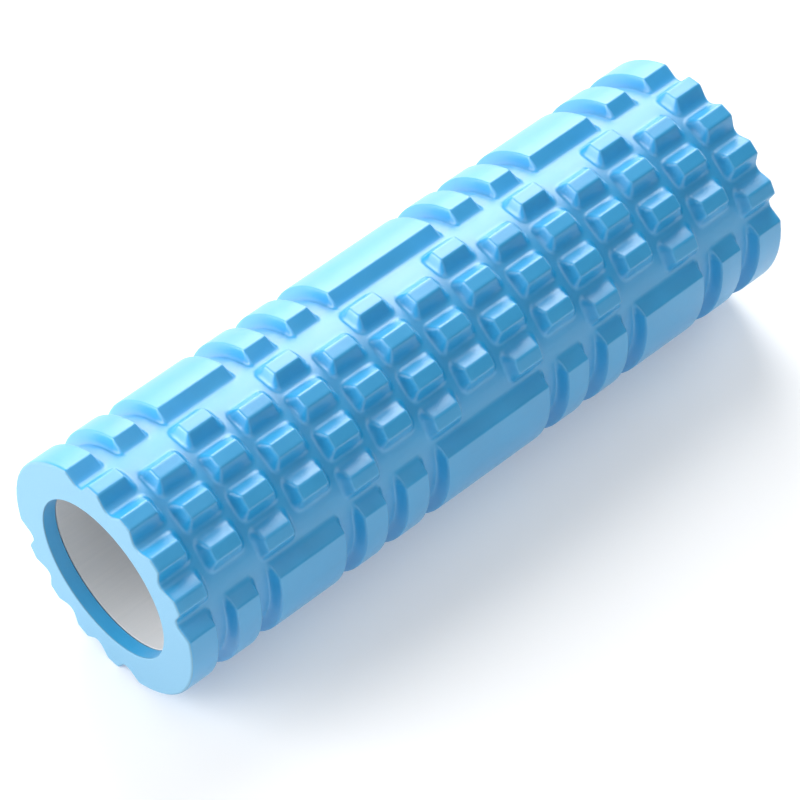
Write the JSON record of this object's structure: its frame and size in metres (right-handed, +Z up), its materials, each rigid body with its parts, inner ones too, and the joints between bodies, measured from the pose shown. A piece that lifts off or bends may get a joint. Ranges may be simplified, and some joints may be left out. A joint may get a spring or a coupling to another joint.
{
  "type": "foam roller",
  "caption": "Hollow massage foam roller: a textured soft foam sleeve with small blocks and wide pads, bonded on a stiff open core tube.",
  "frame": {"origin": "on the floor plane under the middle of the roller, which lies on its side", "axes": "+X along the roller's axis, +Z up; a row of small blocks points straight down and rests on Z = 0"},
  "size_m": [0.3, 0.0998, 0.0998],
  "materials": {
    "eva_foam": "semi-gloss moulded skin",
    "core_plastic": "matte extruded"
  },
  "bodies": {
    "root": {"foam_sleeve": "eva_foam", "core_tube": "core_plastic"}
  },
  "joints": []
}
